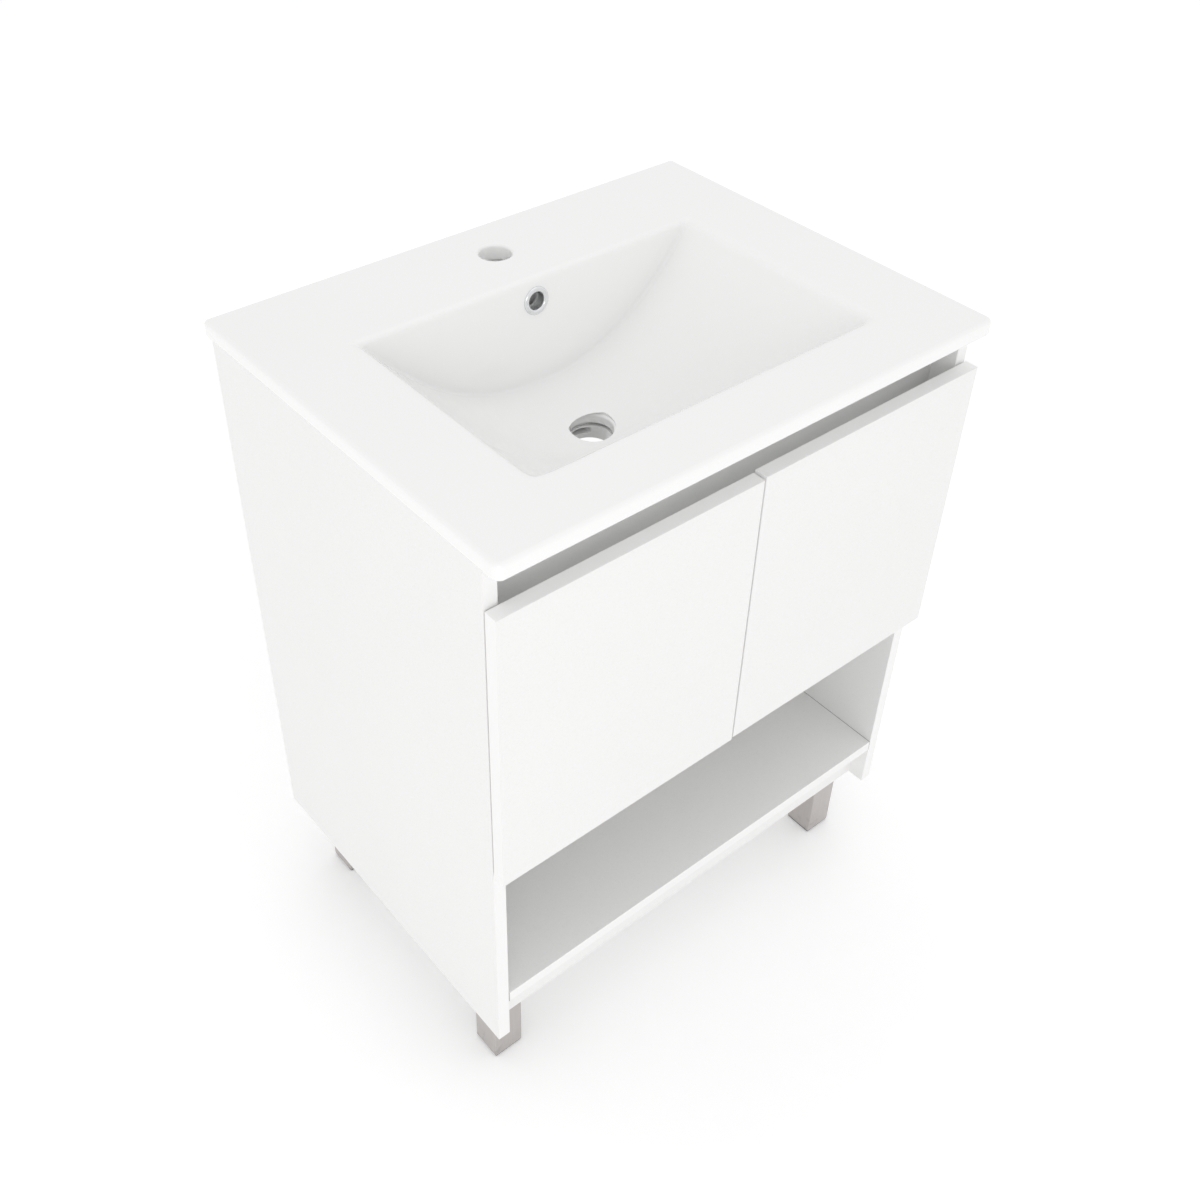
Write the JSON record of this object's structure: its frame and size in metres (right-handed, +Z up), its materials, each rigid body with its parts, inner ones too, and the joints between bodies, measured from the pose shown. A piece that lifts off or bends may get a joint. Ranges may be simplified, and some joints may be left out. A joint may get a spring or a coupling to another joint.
{
  "type": "bathroom vanity cabinet",
  "caption": "White bathroom vanity cabinet with a ceramic scoop basin top, two doors opened by a finger gap, an open niche and square metal legs.",
  "frame": {"origin": "on the floor, under the centre of the basin top's footprint", "axes": "+X to the right as seen from the front, +Y towards the wall, +Z up"},
  "size_m": [0.61, 0.47, 0.8],
  "materials": {
    "ceramic": "gloss white glaze",
    "chrome": "polished",
    "silicone": "soft white sealant",
    "white_board": "white satin laminate on board",
    "leg_metal": "brushed warm nickel",
    "steel": "nickel plated",
    "zinc": "die-cast zinc",
    "beech": "plain beech",
    "glide": "black moulded",
    "bumper": "clear soft dot"
  },
  "bodies": {
    "cabinet": {"basin_top": "ceramic", "overflow_ring": "chrome", "basin_silicone": "silicone", "left_side_panel": "white_board", "right_side_panel": "white_board", "deck_panel": "white_board", "bottom_shelf": "white_board", "top_front_rail": "white_board", "rear_top_rail": "white_board", "niche_back_panel": "white_board", "front_plinth_rail": "white_board", "rear_plinth_rail": "white_board", "cam_housings": "zinc", "cam_bolts": "zinc", "wood_dowels": "beech", "front_left_leg": "leg_metal", "rear_left_leg": "leg_metal", "front_right_leg": "leg_metal", "rear_right_leg": "leg_metal", "leg_plates": "steel", "leg_screws": "steel", "leg_glides": "glide", "plate_screws": "steel", "left_hinge_plates": "steel", "left_hinge_arms": "steel", "left_arm_screws": "steel", "left_arm_pins": "steel", "right_hinge_plates": "steel", "right_hinge_arms": "steel", "right_arm_screws": "steel", "right_arm_pins": "steel"},
    "left_door": {"left_door": "white_board", "left_door_bumpers": "bumper", "left_hinge_cups": "steel", "left_cup_screws": "steel", "left_cup_pins": "steel"},
    "left_hinge_link": {"left_hinge_links": "steel"},
    "right_door": {"right_door": "white_board", "right_door_bumpers": "bumper", "right_hinge_cups": "steel", "right_cup_screws": "steel", "right_cup_pins": "steel"},
    "right_hinge_link": {"right_hinge_links": "steel"}
  },
  "joints": [
    {"name": "left_door_swing", "type": "hinge", "parent": "cabinet", "child": "left_door", "pos_m": [-0.2978, -0.2257, 0.569], "axis": [0, 0, -1], "range_deg": [0, 100]},
    {"name": "left_link_swing", "type": "hinge", "parent": "cabinet", "child": "left_hinge_link", "pos_m": [-0.2706, -0.2214, 0.569], "axis": [0, 0, -1], "range_deg": [-21, 0]},
    {"name": "right_door_swing", "type": "hinge", "parent": "cabinet", "child": "right_door", "pos_m": [0.2978, -0.2257, 0.569], "axis": [0, 0, 1], "range_deg": [0, 100]},
    {"name": "right_link_swing", "type": "hinge", "parent": "cabinet", "child": "right_hinge_link", "pos_m": [0.2706, -0.2214, 0.569], "axis": [0, 0, 1], "range_deg": [-21, 0]}
  ],
  "couplings": [
    {"joint": "left_link_swing", "follows": "left_door_swing", "ratio": -0.205},
    {"joint": "right_link_swing", "follows": "right_door_swing", "ratio": -0.205}
  ]
}
